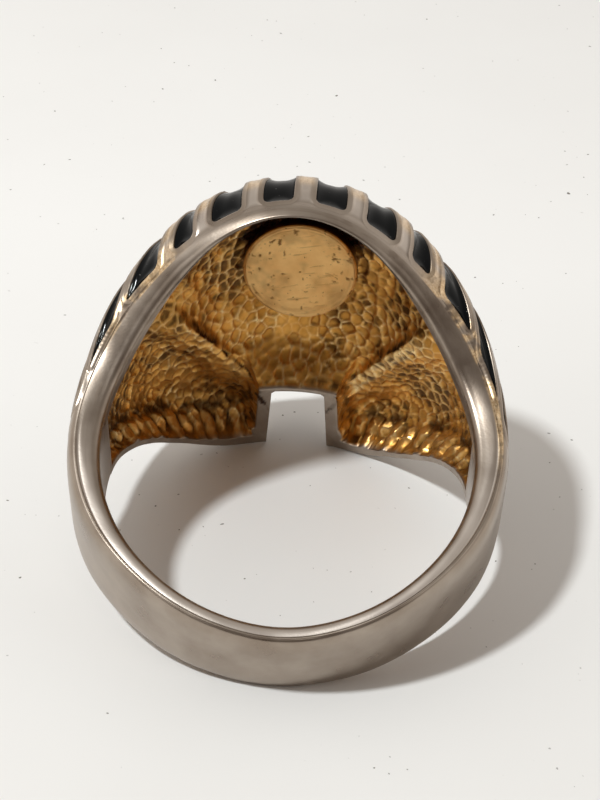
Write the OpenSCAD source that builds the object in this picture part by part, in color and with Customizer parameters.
// Egyptian revival ring: a hollow-cast head in a striped headcloth, with black enamel between the
// stripes, on a plain tapered shank. The ring lies on its side on a floor, shank towards -Y.
// In the ring's own frame the finger runs along Z and the head faces +Y. Angles round the finger
// are counted from the middle of the head, and grow towards +X.

/* [Finger hole and metal] */
// Radius of the finger hole
finger_r = 9.4; // [9.2:0.1:9.6]
// Turn of the filed rims away from the middle of the head, in degrees
rim_turn = -3; // [-4:0.5:0]
// Thickness of the hollow head's wall
wall = 1.2; // [1.1:0.05:1.3]
// Width of the plain band between the foot and the hollow
foot_band = 0.9; // [0.7:0.05:1]
// Rounding of the rims towards the finger
rim_round = 0.3; // [0.2:0.05:0.4]
// How far round each side the hollow reaches, in degrees
hollow_reach = 80; // [76:1:84]

/* [Back of the head] */
// Depth of the deep bowl behind the face, beyond the finger hole
bowl_depth = 3.3; // [3:0.1:3.4]
// Half width of the bowl
bowl_half_w = 6.3; // [6:0.1:6.5]
// Height of the bowl's deepest place
bowl_z = 1.5; // [1.2:0.1:1.8]
// Reach of the bowl above its deepest place
bowl_up = 5; // [4.7:0.1:5.2]
// Reach of the bowl below its deepest place
bowl_down = 10; // [9.5:0.1:10.5]
// Depth of the shallow hollows behind the sides of the headcloth
side_depth = 2.1; // [1.8:0.1:2.3]
// Depth at which the ridges between bowl and side hollows stand
ridge_depth = 1.15; // [1:0.05:1.3]
// Width of the ridges' flat backs
ridge_w = 0.6; // [0.4:0.05:0.8]
// How much deeper than its ridges the bowl is all round
bowl_step = 0.35; // [0.2:0.05:0.45]
// Length over which the hollows curve up to the foot and to the shank
scoop = 2.4; // [2:0.1:2.8]
// Radius of the bare disc
disc_r = 2.95; // [2.8:0.05:3]
// Distance of the disc's middle from the finger's axis
disc_y = 11.2; // [11:0.1:11.4]
// Height of the disc's middle
disc_z = 0.5; // [0.3:0.1:0.7]
// How far the disc looks up, in degrees
disc_lean = 21; // [18:1:24]
// Length of the disc's root in the wall
disc_root = 1.75; // [1.6:0.05:1.9]

/* [Notch between the lappets] */
// Width of the notch at its top
notch_top_w = 2.9; // [2.7:0.1:3.1]
// Width of the notch at its foot
notch_foot_w = 3.45; // [3.3:0.05:3.6]
// Height of the notch's top edge
notch_z = -8; // [-8.2:0.1:-7.8]
// Plain band beside the notch
notch_side_band = 0.7; // [0.6:0.05:0.8]
// Plain band above the notch
notch_top_band = 0.25; // [0.2:0.05:0.3]

/* [Stripes] */
// Width of a rib between two enamel cells
rib_w = 1.15; // [1:0.05:1.25]
// Width of a rib on the lappets
lappet_rib_w = 0.55; // [0.45:0.05:0.65]
// Depth of a cell below the ribs
cell_depth = 0.5; // [0.4:0.05:0.55]
// Depth of the enamel's face below the ribs, at the edge of a cell
enamel_sink = 0.1; // [0.08:0.01:0.14]
// Further sag of the enamel in the middle of a cell
enamel_sag = 0.14; // [0.08:0.01:0.18]
// Gap between the enamel and its cell
enamel_gap = 0.04; // [0.03:0.01:0.05]
// Half width of the face opening in the headcloth, in degrees round the finger
brow_half_angle = 24.4; // [24:0.1:25]
// Height of the middle of the face opening
brow_z = -1.2; // [-1.3:0.1:-1.1]
// Reach of the face opening above its middle
brow_up = 5.9; // [5.8:0.1:6]
// Reach of the face opening below its middle
brow_down = 5.9; // [5.8:0.1:6]

/* [Face] */
// Height of the middle of the face, just above the eyes
face_z = -0.5; // [-0.7:0.1:-0.4]
// How far the face stands out of the headcloth, in parts of its usual relief
face_rise = 1; // [0.9:0.05:1.1]
// How far the nose stands out of the face
nose_rise = 1.15; // [1:0.05:1.3]
// Radius of the brow band
band_r = 0.42; // [0.36:0.02:0.46]
// Height of an ear
ear_h = 2.6; // [2.4:0.1:2.8]

/* [How the ring lies] */
// Tilt of the ring on the floor, in degrees
rest_tilt = 22.3; // [21.5:0.1:23]
// Height of the ring's own middle above the floor
rest_height = 8.61; // [8.5:0.01:8.7]
// Distance of the ring's own middle from the middle of its footprint
rest_y = -3.6; // [-3.8:0.05:-3.4]

/* [Hidden] */

RIGHT = 1;
LEFT = -1;

// The outline round the finger, by the angle from the rims' own middle: height of the rim and of
// the foot, width of the rim's flat, how far the outer face bulges beyond that flat (by the angle
// from the middle of the head), and the plain band between the rim and the hollow.
TOP = 1;
FOOT = 2;
RIM = 3;
BULGE = 4;
BAND = 5;
outline_rows = [
    // angle, top, foot, rim, bulge, band
    [0, 7.45, -13.1, 0.55, 3.9, 0.15],
    [12, 7.15, -13.1, 0.57, 3.8, 0.18],
    [24, 6.3, -12.85, 0.65, 3.5, 0.3],
    [34, 5.2, -11.9, 0.8, 3, 0.55],
    [44, 3.95, -10.4, 0.97, 2.4, 0.85],
    [54, 2.75, -8.65, 1.12, 1.8, 1.05],
    [64, 1.7, -7.15, 1.2, 1.25, 1.1],
    [76, 1.05, -5.8, 1.22, 0.77, 1.1],
    [90, 0.7, -5.4, 1.2, 0.55, 1.1],
    [110, 0.4, -5.35, 1, 0.57, 1.1],
    [135, 0.22, -5.2, 0.78, 0.43, 1.1],
    [160, -0.2, -5.1, 0.72, 0.44, 1.1],
    [180, -0.45, -5.1, 0.74, 0.45, 1.1]];

// The ribs of the headcloth on one side, from the crown to the lappet: start round the face
// opening in degrees, angle round the finger at the outer end, and way up the outer face there,
// from -1 at the foot to 1 at the rim.
START = 0;
END = 1;
WAY = 2;
rib_rows = [
    // start, end, way
    [0, 0, 0.98],
    [22, 14.6, 0.98],
    [44, 29, 0.98],
    [62, 40, 0.97],
    [76, 56, 0.94],
    [87, 74, 0.88],
    [96, 86, 0.5],
    [105, 89, 0.05],
    [115, 87, -0.4],
    [125, 66, -0.62],
    [133, 58, -0.76]];

// The ribs across a lappet, from the shoulder down: angle beside the notch, angle at the outer
// edge, and height of both ends.
NEAR = 0;
FAR = 1;
NEAR_Z = 2;
FAR_Z = 3;
lappet_rows = [
    // near, far, near_z, far_z
    [11.5, 18, -6.55, -6.1],
    [9.5, 27.5, -7.95, -7.5],
    [9.5, 35.5, -9.3, -8.9],
    [9.5, 37.5, -10.65, -10.05],
    [9.5, 31, -12.05, -11.45]];

// The dome's roundness across the finger: high numbers make a flatter face with tighter edges
DOME_FLAT = 5;
DOME_EDGE = 1 / 3;
// Steps of the body's mesh: above the notch, round each side of the head, round the shank, up the
// outer face, and down the hollow above and below the level of the notch's top
notch_steps = 6;
head_steps = 18;
shank_steps = 16;
outer_steps = 18;
upper_steps = 9;
lower_steps = 4;
head_half = 89;
// Length of the hollow's steep edge, and the slope of its ceiling under the rim
edge_step = 0.35;
ridge_step = 0.5;
ceiling = 1.15;
// The ridge on each side of the bowl: angle and height of its foot and of its top, the width of its
// slope into the side hollow, and where it fades out (height, and length of the fade)
ridge_foot = [11, -9.5];
ridge_top = [36.5, -0.9];
ridge_slope = 1.4;
ridge_fade = [-0.8, 2.6];
// Levels of the hollow: where the upper ones end, and how they crowd together under the rim
split_part = 0.35;
level_spread = 1.2;
// The rim's section, in parts of its width and of its rounding: where it is highest and by how much,
// and the corner towards the finger
crest_part = 0.6;
crest_rise = 0.2;
corner_part = 0.7;
corner_drop = 0.1;
// Most of the band below a rim that its rounding takes up
band_part = 0.7;
// Small step, in degrees and in parts of the way up, from which the surface's slope is found
slope_step = 0.05;
way_step = 0.002;

function clamp(v, low, high) = max(low, min(high, v));
function mix(a, b, part) = a + (b - a) * part;
function ease(v) = let (c = clamp(v, 0, 1)) c * c * (3 - 2 * c);
function hump(v, width) = exp(-pow(v / width, 2));
function arc_mm(radius, degrees) = radius * degrees * PI / 180;
function round_z(radius, angle, z) = [radius * sin(angle), radius * cos(angle), z];

// A smooth curve through one column of a table, at value v of its first column
function slope_at(rows, c, i) = (i == 0 || i == len(rows) - 1) ? 0
    : (rows[i + 1][c] - rows[i - 1][c]) / (rows[i + 1][0] - rows[i - 1][0]);
function curve(rows, c, v) = let (
        i = min(len([for (row = rows) if (row[0] <= v) 1]), len(rows) - 1) - 1,
        span = rows[i + 1][0] - rows[i][0],
        t = (v - rows[i][0]) / span,
        rise = rows[i + 1][c] - rows[i][c],
        m0 = slope_at(rows, c, i) * span,
        m1 = slope_at(rows, c, i + 1) * span)
    rows[i][c] + t * (m0 + t * (3 * rise - 2 * m0 - m1 + t * (m0 + m1 - 2 * rise)));

// The outline at an angle round the finger: [top, foot, rim width, bulge]
function rim_angle(angle) = let (a = abs(angle - rim_turn)) a > 180 ? 360 - a : a;
function head_angle(angle) = let (a = abs(angle)) a > 180 ? 360 - a : a;
function outline(angle) = let (a = rim_angle(angle))
    [a, curve(outline_rows, TOP, a), curve(outline_rows, FOOT, head_angle(angle)),
        curve(outline_rows, RIM, a), curve(outline_rows, BULGE, head_angle(angle)),
        curve(outline_rows, BAND, a)];

// The outer face: radius at a height, and the way up (-1 to 1) that belongs to a height
function dome(h) = pow(max(0, 1 - pow(abs(h), DOME_FLAT)), DOME_EDGE);
function height_of(o, way) = let (h = sign(way) * (1 - pow(1 - abs(way), 2)))
    mix(o[FOOT], o[TOP], (h + 1) / 2);
function part_up(o, z) = clamp(2 * (z - o[FOOT]) / (o[TOP] - o[FOOT]) - 1, -1, 1);
function way_of(o, z) = let (h = part_up(o, z)) sign(h) * (1 - sqrt(1 - abs(h)));
function outer_r(o, z) = finger_r + o[RIM] + o[BULGE] * dome(part_up(o, z));
function face_point(angle, way) = let (o = outline(angle), z = height_of(o, way))
    round_z(outer_r(o, z), angle, z);

// The hollow: how far its wall stands back from the finger hole
function notch_half(z) = mix(notch_top_w, notch_foot_w,
    clamp((notch_z - z) / (notch_z - outline_rows[0][FOOT]), 0, 1)) / 2;
function notch_edge(angle, z) = max(
    abs(finger_r * sin(angle)) - notch_half(z) - notch_side_band,
    z - notch_z - notch_top_band);
function scooped(edge) = let (rest = 1 - clamp(edge / scoop, 0, 1)) sqrt(1 - rest * rest);
function bowl(angle, z) = let (
        across = finger_r * sin(angle) / bowl_half_w,
        along = (z - bowl_z) / (z > bowl_z ? bowl_up : bowl_down))
    bowl_depth * sqrt(max(0, 1 - across * across - along * along));
// Distance past a ridge, in mm, away from the bowl
function past_ridge(angle, z) = let (
        run = [arc_mm(finger_r, ridge_top[0] - ridge_foot[0]), ridge_top[1] - ridge_foot[1]],
        p = [arc_mm(finger_r, abs(angle) - ridge_foot[0]), z - ridge_foot[1]])
    (p[0] * run[1] - p[1] * run[0]) / norm(run);
function hollow(o, angle, z) = let (
        below_rim = o[TOP] - o[BAND] - z,
        out = past_ridge(angle, z),
        deep = bowl(angle, z),
        side = min(side_depth, outer_r(o, z) - finger_r - wall),
        ridged = out > 0 ? mix(ridge_depth, side, ease((out - ridge_w) / ridge_slope))
            : mix(ridge_depth, max(deep, ridge_depth + bowl_step), ease(-out / ridge_step)),
        full = mix(ridged, max(side, deep), ease((z - ridge_fade[0]) / ridge_fade[1]))
            * scooped(min(z - o[FOOT] - foot_band, arc_mm(finger_r, hollow_reach - abs(angle))))
            * sqrt(ease(notch_edge(angle, z) / edge_step)))
    below_rim <= 0 ? 0 : max(0, min(full, ceiling * below_rim + edge_step * ease(below_rim)));

// One section of the body, as a closed run of points: up the outer face, over the rim, down the
// hollow and under the foot
function section(angle) = let (
        o = outline(angle),
        r = finger_r,
        turn_in = min(rim_round, o[BAND] * band_part),
        top_edge = o[TOP] - o[BAND],
        foot_edge = o[FOOT] + foot_band,
        split = max(notch_z + notch_top_band + edge_step, mix(foot_edge, top_edge, split_part)),
        levels = concat(
            [for (i = [0:upper_steps]) mix(top_edge, split, pow(i / upper_steps, level_spread))],
            [for (i = [0:lower_steps - 1])
                mix(split - edge_step, foot_edge + edge_step, i / (lower_steps - 1))],
            [foot_edge]))
    concat(
        [for (i = [0:outer_steps]) face_point(angle, 2 * i / outer_steps - 1)],
        [round_z(r + o[RIM] * crest_part, angle, o[TOP] + rim_round * crest_rise),
            round_z(r + turn_in * corner_part, angle, o[TOP] - turn_in * corner_drop),
            round_z(r, angle, o[TOP] - turn_in)],
        [for (z = levels) round_z(r + hollow(o, angle, z), angle, z)],
        [round_z(r + rim_round * corner_part, angle, o[FOOT] + rim_round * corner_drop),
            round_z(r + o[RIM] * crest_part, angle, o[FOOT] - rim_round * crest_rise)]);

// Triangles between the runs of points of neighbouring sections
function ring_faces(sections, points) = [for (i = [0:sections - 1], k = [0:points - 1])
    let (a = i * points + k,
        b = i * points + (k + 1) % points,
        c = ((i + 1) % sections) * points + k,
        d = ((i + 1) % sections) * points + (k + 1) % points)
    each [[a, d, b], [a, c, d]]];

notch_end = asin((notch_foot_w / 2 + notch_side_band) / finger_r);
lappet_start = asin((notch_foot_w / 2 + notch_side_band + edge_step) / finger_r);
module body_shell() {
    angles = concat(
        [for (i = [0:head_steps]) mix(-head_half, -lappet_start, i / head_steps)],
        [for (i = [0:notch_steps]) mix(-notch_end, notch_end, i / notch_steps)],
        [for (i = [0:head_steps]) mix(lappet_start, head_half, i / head_steps)],
        [for (i = [1:shank_steps - 1]) mix(head_half, 360 - head_half, i / shank_steps)]);
    runs = [for (a = angles) section(a)];
    polyhedron([for (run = runs) each run], ring_faces(len(runs), len(runs[0])));
}

// A closed slab over a grid of points: the upper skin, then the lower skin, then the rims of any
// levels between them. rim_of goes round the grid's edge.
function rim_of(rows, cols) = concat(
    [for (j = [0:cols - 1]) j],
    [for (i = [1:rows - 1]) i * cols + cols - 1],
    [for (j = [cols - 2:-1:0]) (rows - 1) * cols + j],
    [for (i = [rows - 2:-1:1]) i * cols]);
function wall_faces(upper, lower) = [for (k = [0:len(upper) - 1])
    let (next = (k + 1) % len(upper))
    each [[upper[k], lower[next], upper[next]], [upper[k], lower[k], lower[next]]]];
function slab_faces(rows, cols, levels) = let (
        n = rows * cols,
        rim = rim_of(rows, cols),
        rims = [for (level = [0:levels + 1]) level == 0 ? rim
            : level > levels ? [for (r = rim) n + r]
            : [for (k = [0:len(rim) - 1]) 2 * n + (level - 1) * len(rim) + k]])
    concat(
        [for (i = [0:rows - 2], j = [0:cols - 2])
            let (a = i * cols + j, b = a + 1, c = a + cols, d = c + 1)
            each [[a, b, d], [a, d, c], [n + a, n + d, n + b], [n + a, n + c, n + d]]],
        [for (level = [0:levels]) each wall_faces(rims[level], rims[level + 1])]);

// A point of the outer face, sunk along the face's own normal
function sunk(angle, way, depth) = let (
        p = face_point(angle, way),
        across = face_point(angle + slope_step, way) - face_point(angle - slope_step, way),
        up = face_point(angle, way + way_step) - face_point(angle, way - way_step),
        out = cross(up, across))
    p - depth * out / norm(out);

// A rib's ends in angle and way, on one side of the head
function opening(start) = let (
        angle = brow_half_angle * sin(start),
        z = brow_z + (start < 90 ? brow_up : brow_down) * cos(start))
    [angle, way_of(outline(angle), z)];
function fan_rib(k) = [opening(rib_rows[k][START]), [rib_rows[k][END], rib_rows[k][WAY]]];
function lappet_rib(k) = let (row = lappet_rows[k])
    [[row[NEAR], way_of(outline(row[NEAR]), row[NEAR_Z])],
        [row[FAR], way_of(outline(row[FAR]), row[FAR_Z])]];

// One cell between two ribs, from depth high to depth low, drawn in by inset. sag lowers the
// middle of the upper skin. The cell narrows at both ends, which rounds them, but never to less
// than its tip.
cell_rows = 6;
cell_cols = 3;
end_widths = [0.72, 1, 1, 1, 0.97, 0.65];
cell_tip = 0.12;
draw_limit = 0.6;
// How far a cell's cutter rises above the ribs
cutter_rise = 0.3;
function point_at(side, place) = face_point(side * place[0], place[1]);
function cell_row(a, b, side, width, depth, sag, i) = let (
        v = i / (cell_rows - 1),
        ends = [mix(a[0], a[1], v), mix(b[0], b[1], v)],
        gap = norm(point_at(side, ends[1]) - point_at(side, ends[0])),
        half = max((gap - width) / 2, cell_tip) / gap * end_widths[i])
    [for (across = [-1:2 / (cell_cols - 1):1])
        let (place = mix(ends[0], ends[1], 0.5 + across * half))
        sunk(side * place[0], place[1], depth + sag * (1 - across * across))];
// The grid's edge is drawn in square to the walls, along the grid's own lines
function step_in(line, reach) = line * min(reach / norm(line), draw_limit);
function cell_grid(a, b, side, width, inset, depth, sag) = let (
        last = cell_rows - 1,
        edge = cell_cols - 1,
        rows = [for (i = [0:last]) cell_row(a, b, side, width, depth, sag, i)])
    [for (i = [0:last], j = [0:edge])
        let (run = rows[i == last ? last - 1 : i + 1][j] - rows[i][j],
            over = rows[i][j == edge ? edge - 1 : j + 1] - rows[i][j],
            lean = norm(cross(run, over)) / (norm(run) * norm(over)))
        rows[i][j] + step_in(run, i == 0 || i == last ? inset / lean : 0)
            + step_in(over, j == 0 || j == edge ? inset / lean : 0)];

// depths holds the depth of the upper skin, of any levels between, and of the lower skin
module cell(a, b, side, width, inset, depths, sag) {
    last = len(depths) - 1;
    upper = cell_grid(a, b, side, width, inset, depths[0], sag);
    lower = cell_grid(a, b, side, width, inset, depths[last], 0);
    between = last == 1 ? [] : cell_grid(a, b, side, width, inset, depths[1], 0);
    rim = [for (k = rim_of(cell_rows, cell_cols)) between[k]];
    faces = slab_faces(cell_rows, cell_cols, last - 1);
    polyhedron(concat(upper, lower, last == 1 ? [] : rim),
        side == RIGHT ? faces : [for (f = faces) [f[0], f[2], f[1]]]);
}

cutter_depths = [-cutter_rise, enamel_sink, cell_depth];
enamel_depths = [enamel_sink, cell_depth - enamel_gap];
module fan_cell(k, side, inset, depths, sag) {
    cell(fan_rib(k - 1), fan_rib(k), side, rib_w, inset, depths, sag);
}

module lappet_cell(k, side, inset, depths, sag) {
    cell(lappet_rib(k - 1), lappet_rib(k), side, lappet_rib_w, inset, depths, sag);
}

// The face: a skin over the front of the head, x along the headcloth and z up
FACE_W = 1;
FACE_RISE = 2;
face_rows = [
    // z, half width, rise
    [-7.3, 1.9, 0.26],
    [-6.6, 1.75, 0.26],
    [-6.15, 1.7, 0.4],
    [-5.6, 1.9, 1.3],
    [-4.6, 2.4, 1.75],
    [-3.4, 2.85, 1.8],
    [-2, 3.25, 1.75],
    [-0.4, 3.5, 1.7],
    [0.9, 3.55, 1.7],
    [2.2, 3.25, 1.45],
    [3.1, 2.35, 1.2],
    [3.6, 1.2, 0.9],
    [3.9, 0.4, -0.4],
    [4.3, 0.4, -0.4]];
NOSE_RISE = 1;
NOSE_W = 2;
nose_rows = [
    // z, rise, half width
    [-2.8, 0, 0.5],
    [-2.4, 0.3, 0.5],
    [-2.05, 1, 0.44],
    [-1.5, 0.86, 0.4],
    [-0.5, 0.6, 0.33],
    [0.3, 0.38, 0.31],
    [0.9, 0.22, 0.36],
    [1.6, 0, 0.5]];
// Soft bumps and dents, the same on both sides: nostril, eye socket, groove above the lips, dent
// below them, chin and cheek
BUMP_W = 2;
BUMP_H = 3;
BUMP_RISE = 4;
bump_rows = [
    // x, z, width, height, rise
    [0.62, -2.02, 0.28, 0.3, 0.42],
    [1.5, 0.1, 0.95, 0.5, -0.36],
    [0, -2.85, 0.16, 0.25, -0.08],
    [0, -4.3, 0.7, 0.25, -0.15],
    [0, -5, 0.9, 0.5, 0.32],
    [2.2, -1.2, 0.9, 0.8, 0.15]];
// Lines that arch outwards from the nose: the brow, and the line drawn from the corner of the eye
LINE_Z = 0;
LINE_ARCH = 1;
LINE_W = 2;
LINE_RISE = 3;
LINE_FROM = 4;
LINE_TO = 5;
line_rows = [
    // z, arch, width, rise, from, to
    [0.85, 0.22, 0.19, 0.2, 0.35, 2.85],
    [0.02, 0, 0.14, 0.1, 2.1, 3.15]];
line_fade = 0.3;
// The lips, and the line between them: the reach is how fast they fade towards the corners
LIP_Z = 0;
LIP_W = 1;
LIP_REACH = 2;
LIP_RISE = 3;
lip_rows = [
    // z, width, reach, rise
    [-3.18, 0.22, 0.95, 0.32],
    [-3.78, 0.25, 0.7, 0.36],
    [-3.48, 0.12, 1.3, -0.2]];
eye_at = [1.45, 0.05];
eye_half = [0.8, 0.38];
eye_rise = 0.3;
lid_rise = 0.11;
lid_w = 0.35;
// Roundness of the face across its width, and the step at its edge
face_flat = 2.3;
face_edge = 0.6;
edge_drop = 0.5;
edge_part = 0.1;

function total(values) = values * [for (v = values) 1];
function row_value(rows, c, v) = curve(rows, c, clamp(v, rows[0][0], rows[len(rows) - 1][0]));
function almond(x, z) = 1 - pow((x - eye_at[0]) / eye_half[0], 2)
    - pow((z - eye_at[1]) / eye_half[1], 2);
function head_form(x, z) = let (part = abs(x) / row_value(face_rows, FACE_W, z))
    row_value(face_rows, FACE_RISE, z) * (part < 1 ? pow(1 - pow(part, face_flat), face_edge) : 0)
        - edge_drop * ease((part - 1) / edge_part);
function bump(row, x, z) = row[BUMP_RISE] * hump(x - row[0], row[BUMP_W])
    * hump(z - row[1], row[BUMP_H]);
function line(row, x, z) = let (
        run = clamp((x - row[LINE_FROM]) / (row[LINE_TO] - row[LINE_FROM]), 0, 1))
    row[LINE_RISE] * hump(z - row[LINE_Z] - row[LINE_ARCH] * sin(180 * run), row[LINE_W])
        * ease((x - row[LINE_FROM]) / line_fade) * ease((row[LINE_TO] - x) / line_fade);
function lip(row, x, z) = row[LIP_RISE] * hump(z - row[LIP_Z], row[LIP_W])
    * hump(x * x, row[LIP_REACH]);
function features(x, z) = let (ax = abs(x), eye = almond(ax, z))
    nose_rise * row_value(nose_rows, NOSE_RISE, z) * hump(x, row_value(nose_rows, NOSE_W, z))
        + eye_rise * sqrt(max(0, eye)) + lid_rise * hump(eye, lid_w)
        + total([for (row = bump_rows) bump(row, ax, z)])
        + total([for (row = line_rows) line(row, ax, z)])
        + total([for (row = lip_rows) lip(row, ax, z)]);
function face_depth(x, z) = face_base_r + face_rise * (head_form(x, z)
    + (abs(x) < row_value(face_rows, FACE_W, z) ? features(x, z) : 0));
function face_turn(x) = x / face_base_r * 180 / PI;
// The radius from which the face rises, the back of its solid, and its least thickness
face_base_r = finger_r + outline_rows[0][RIM] + outline_rows[0][BULGE] - 0.1;
face_back_r = face_base_r - 0.35;
face_skin = 0.1;
face_cols = 24;
face_levels = 36;
face_span = 3.85;

module face() {
    grid = [for (i = [0:face_levels], j = [0:face_cols])
        [mix(-face_span, face_span, j / face_cols),
            mix(face_rows[0][0], face_rows[len(face_rows) - 1][0], i / face_levels)]];
    front = [for (p = grid) round_z(
        max(face_depth(p[0], p[1]), face_back_r + face_skin), face_turn(p[0]), p[1] + face_z)];
    back = [for (p = grid) round_z(face_back_r, face_turn(p[0]), p[1] + face_z)];
    polyhedron(concat(front, back), slab_faces(face_levels + 1, face_cols + 1, 0));
}

// A bead of metal seated on the face's skin
module bead(x, z, radius, rise) {
    o = outline(face_turn(x));
    r = max(face_depth(x, z), outer_r(o, z + face_z)) + rise;
    translate(round_z(r, face_turn(x), z + face_z)) sphere(radius, $fn = 8);
}

band_steps = 10;
band_half_w = 3.75;
band_mid_z = 0.9;
band_sink = 0.05;
hairline_z = 3.7;
module brow_band() {
    for (i = [0:band_steps - 1]) hull() {
        for (a = [mix(-90, 90, i / band_steps), mix(-90, 90, (i + 1) / band_steps)])
            bead(band_half_w * sin(a), mix(band_mid_z, hairline_z, cos(a)), band_r, -band_sink);
    }
}

// An ear, as beads from its top down to its lobe: how far out and up, and how big
OUT = 0;
UP = 1;
BEAD_R = 2;
BEAD_RISE = 3;
ear_top_z = 0.51;
ear_rows = [
    // out, up, radius, rise
    [4.25, 1, 0.62, 0.3],
    [4, 0.95, 0.5, 0.3],
    [4.1, 0.5, 0.5, 0.25],
    [3.9, 0.15, 0.36, 0.15]];
module ear(side) {
    hull() {
        for (row = ear_rows)
            bead(side * row[OUT], ear_top_z - ear_h * (1 - row[UP]), row[BEAD_R], row[BEAD_RISE]);
    }
}

module disc() {
    translate([0, disc_y, disc_z]) rotate([-90 - disc_lean, 0, 0])
        cylinder(disc_root, disc_r, disc_r, $fn = 48);
}

// The notch, with its corners rounded
notch_corner = 0.2;
notch_over = 1;
notch_from = 3;
notch_cut = 12;
module notch() {
    half_top = notch_top_w / 2;
    half_foot = notch_foot_w / 2;
    depth = notch_z - outline_rows[0][FOOT] + notch_over;
    translate([0, finger_r - notch_from, notch_z]) rotate([90, 0, 180]) mirror([0, 1, 0])
        linear_extrude(notch_cut) offset(r = notch_corner, $fn = 16) offset(delta = -notch_corner)
            polygon([[-half_top, 0], [half_top, 0], [half_foot, depth], [-half_foot, depth]]);
}

module lie() {
    translate([0, rest_y, rest_height]) rotate([rest_tilt, 0, 0]) children();
}

module ring_body() {
    color([0.62, 0.58, 0.54]) lie() difference() {
        union() {
            body_shell();
            face();
            brow_band();
            disc();
            for (side = [LEFT, RIGHT]) ear(side);
        }
        for (side = [LEFT, RIGHT]) {
            for (k = [1:len(rib_rows) - 1]) fan_cell(k, side, 0, cutter_depths, 0);
            for (k = [1:len(lappet_rows) - 1]) lappet_cell(k, side, 0, cutter_depths, 0);
        }
        notch();
    }
}

module enamel(k, side) {
    color([0.03, 0.03, 0.035]) lie()
        fan_cell(k, side, enamel_gap, enamel_depths, enamel_sag);
}

module lappet(k, side) {
    color([0.03, 0.03, 0.035]) lie()
        lappet_cell(k, side, enamel_gap, enamel_depths, enamel_sag);
}

ring_body();
enamel(1, RIGHT);  // enamel_right_1
enamel(2, RIGHT);  // enamel_right_2
enamel(3, RIGHT);  // enamel_right_3
enamel(4, RIGHT);  // enamel_right_4
enamel(5, RIGHT);  // enamel_right_5
enamel(6, RIGHT);  // enamel_right_6
enamel(7, RIGHT);  // enamel_right_7
enamel(8, RIGHT);  // enamel_right_8
enamel(9, RIGHT);  // enamel_right_9
enamel(10, RIGHT);  // enamel_right_10
enamel(1, LEFT);  // enamel_left_1
enamel(2, LEFT);  // enamel_left_2
enamel(3, LEFT);  // enamel_left_3
enamel(4, LEFT);  // enamel_left_4
enamel(5, LEFT);  // enamel_left_5
enamel(6, LEFT);  // enamel_left_6
enamel(7, LEFT);  // enamel_left_7
enamel(8, LEFT);  // enamel_left_8
enamel(9, LEFT);  // enamel_left_9
enamel(10, LEFT);  // enamel_left_10
lappet(1, RIGHT);  // lappet_right_1
lappet(2, RIGHT);  // lappet_right_2
lappet(3, RIGHT);  // lappet_right_3
lappet(4, RIGHT);  // lappet_right_4
lappet(1, LEFT);  // lappet_left_1
lappet(2, LEFT);  // lappet_left_2
lappet(3, LEFT);  // lappet_left_3
lappet(4, LEFT);  // lappet_left_4
